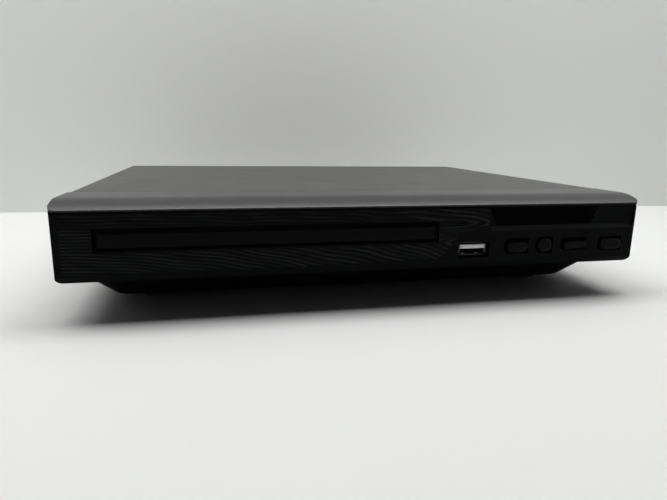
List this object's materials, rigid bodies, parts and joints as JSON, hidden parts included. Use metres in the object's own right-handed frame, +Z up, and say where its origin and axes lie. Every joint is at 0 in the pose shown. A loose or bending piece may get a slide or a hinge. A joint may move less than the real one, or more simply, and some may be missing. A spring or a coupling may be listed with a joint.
{
  "type": "disc player with tray",
  "caption": "Low black disc player: wide casing on a tapered base, rippled front with a sliding disc tray, dark display window, data socket and buttons.",
  "frame": {"origin": "on the ground under the middle of the player", "axes": "+X to the right seen from the front, +Z up, the front faces -Y"},
  "size_m": [0.24, 0.2084, 0.045],
  "materials": {
    "bezel_black": "satin moulded",
    "window_smoke": "polished dark smoke",
    "cover_black": "fine textured black paint",
    "pan_black": "satin black paint",
    "foot_rubber": "matt",
    "tray_black": "satin moulded",
    "door_black": "semi-gloss",
    "button_black": "semi-gloss",
    "loader_black": "moulded",
    "bridge_steel": "zinc plated",
    "clamper_white": "moulded acetal",
    "magnet_grey": "sintered ferrite",
    "gear_white": "moulded acetal",
    "motor_steel": "plated can",
    "belt_rubber": "matt",
    "cam_plastic": "moulded acetal",
    "deck_steel": "zinc plated",
    "rod_steel": "ground",
    "shaft_steel": "ground",
    "turntable_black": "moulded with rubber ring",
    "sled_metal": "cast",
    "lens_glass": "polished",
    "board_green": "solder resist",
    "display_grey": "moulded",
    "sensor_black": "infrared filter",
    "switch_black": "moulded",
    "socket_metal": "nickel plated",
    "tongue_white": "moulded",
    "transformer_yellow": "taped winding",
    "capacitor_sleeve": "shrink sleeve",
    "inlet_black": "moulded",
    "pin_brass": "nickel plated brass",
    "heatsink_alu": "anodised",
    "jack_black": "moulded",
    "barrel_nickel": "nickel plated",
    "insert_yellow": "moulded",
    "insert_white": "moulded",
    "insert_red": "moulded",
    "ribbon_grey": "flat cable"
  },
  "bodies": {
    "frame": {"front_bezel": "bezel_black", "display_window": "window_smoke", "top_cover": "cover_black", "chassis_pan": "pan_black", "rear_panel": "pan_black", "foot_front_left": "foot_rubber", "foot_front_right": "foot_rubber", "foot_rear_left": "foot_rubber", "foot_rear_right": "foot_rubber", "loader_frame": "loader_black", "clamp_bridge": "bridge_steel", "loading_motor": "motor_steel", "drive_belt": "belt_rubber", "front_board": "board_green", "display_module": "display_grey", "infrared_receiver": "sensor_black", "key_switches": "switch_black", "usb_socket": "socket_metal", "usb_tongue": "tongue_white", "power_board": "board_green", "transformer": "transformer_yellow", "power_capacitors": "capacitor_sleeve", "mains_inlet": "inlet_black", "inlet_pins": "pin_brass", "main_board": "board_green", "decoder_chip": "heatsink_alu", "hdmi_socket": "socket_metal", "jack_block": "jack_black", "jack_barrels": "barrel_nickel", "jack_insert_yellow": "insert_yellow", "jack_insert_white": "insert_white", "jack_insert_red": "insert_red", "front_ribbon": "ribbon_grey"},
    "tray_carriage": {"tray": "tray_black", "tray_door": "door_black"},
    "drive_wheel": {"drive_gear": "gear_white"},
    "mid_wheel": {"mid_gear": "gear_white"},
    "pulley_wheel": {"belt_pulley": "gear_white"},
    "motor_wheel": {"motor_pulley": "gear_white"},
    "cam": {"cam_slider": "cam_plastic"},
    "deck": {"deck_plate": "deck_steel", "guide_rod_left": "rod_steel", "guide_rod_right": "rod_steel", "spindle_motor": "motor_steel", "sled_motor": "motor_steel"},
    "spindle": {"spindle_shaft": "shaft_steel", "turntable": "turntable_black"},
    "sled": {"pickup_sled": "sled_metal", "pickup_lens": "lens_glass"},
    "feed_wheel": {"feed_gear": "gear_white"},
    "sled_wheel": {"sled_motor_pinion": "gear_white"},
    "clamp": {"clamper": "clamper_white", "clamper_cap": "clamper_white", "clamper_magnet": "magnet_grey"},
    "eject_key": {"eject_button": "button_black"},
    "play_key": {"play_button": "button_black"},
    "stop_key": {"stop_button": "button_black"},
    "power_key": {"power_button": "button_black"}
  },
  "joints": [
    {"name": "tray_slide", "type": "slide", "parent": "frame", "child": "tray_carriage", "axis": [0, -1, 0], "range_m": [0, 0.13]},
    {"name": "drive_gear_spin", "type": "hinge", "parent": "frame", "child": "drive_wheel", "pos_m": [-0.00305, -0.0815, 0.025], "axis": [0, 0, 1], "range_deg": [-583.6, 0.5]},
    {"name": "mid_gear_spin", "type": "hinge", "parent": "frame", "child": "mid_wheel", "pos_m": [-0.02065, -0.0815, 0.022], "axis": [0, 0, 1], "range_deg": [-0.5, 1555.4]},
    {"name": "belt_pulley_spin", "type": "hinge", "parent": "frame", "child": "pulley_wheel", "pos_m": [-0.03985, -0.0815, 0.022], "axis": [0, 0, 1], "range_deg": [-4665.1, 0.5]},
    {"name": "motor_pulley_spin", "type": "hinge", "parent": "frame", "child": "motor_wheel", "pos_m": [-0.09, -0.064, 0.022], "axis": [0, 0, 1], "range_deg": [-17893, 0.5]},
    {"name": "deck_lift", "type": "hinge", "parent": "frame", "child": "deck", "pos_m": [-0.04025, 0.046, 0.02225], "axis": [-1, 0, 0], "range_deg": [0, 5.5]},
    {"name": "cam_slide", "type": "slide", "parent": "frame", "child": "cam", "axis": [1, 0, 0], "range_m": [0, 0.013]},
    {"name": "spindle_spin", "type": "hinge", "parent": "deck", "child": "spindle", "pos_m": [-0.04025, -0.03518, 0.02021], "axis": [0, -0.0958, 0.9954], "continuous": true},
    {"name": "sled_slide", "type": "slide", "parent": "deck", "child": "sled", "axis": [0, 0.9954, 0.0958], "range_m": [0, 0.036]},
    {"name": "feed_gear_spin", "type": "hinge", "parent": "deck", "child": "feed_wheel", "pos_m": [-0.01465, 0.01465, 0.01396], "axis": [0, -0.0958, 0.9954], "range_deg": [-574.6, 0.5]},
    {"name": "sled_pinion_spin", "type": "hinge", "parent": "deck", "child": "sled_wheel", "pos_m": [-0.00865, 0.02499, 0.01495], "axis": [0, -0.0958, 0.9954], "range_deg": [-0.5, 1722.8]},
    {"name": "clamper_spin", "type": "hinge", "parent": "frame", "child": "clamp", "pos_m": [-0.04025, -0.035, 0.036], "axis": [0, 0, 1], "continuous": true},
    {"name": "eject_press", "type": "slide", "parent": "frame", "child": "eject_key", "axis": [0, 1, 0], "range_m": [0, 0.0008], "stiffness_N_per_m": 1000},
    {"name": "play_press", "type": "slide", "parent": "frame", "child": "play_key", "axis": [0, 1, 0], "range_m": [0, 0.0008], "stiffness_N_per_m": 1000},
    {"name": "stop_press", "type": "slide", "parent": "frame", "child": "stop_key", "axis": [0, 1, 0], "range_m": [0, 0.0008], "stiffness_N_per_m": 1000},
    {"name": "power_press", "type": "slide", "parent": "frame", "child": "power_key", "axis": [0, 1, 0], "range_m": [0, 0.0008], "stiffness_N_per_m": 1000}
  ],
  "couplings": [
    {"joint": "drive_gear_spin", "follows": "tray_slide", "rad_per_m": -78.125},
    {"joint": "mid_gear_spin", "follows": "tray_slide", "rad_per_m": 208.33},
    {"joint": "belt_pulley_spin", "follows": "tray_slide", "rad_per_m": -625},
    {"joint": "motor_pulley_spin", "follows": "tray_slide", "rad_per_m": -2397.4},
    {"joint": "cam_slide", "follows": "deck_lift", "m_per_rad": 0.13543},
    {"joint": "feed_gear_spin", "follows": "sled_slide", "rad_per_m": -277.78},
    {"joint": "sled_pinion_spin", "follows": "sled_slide", "rad_per_m": 833.33}
  ]
}
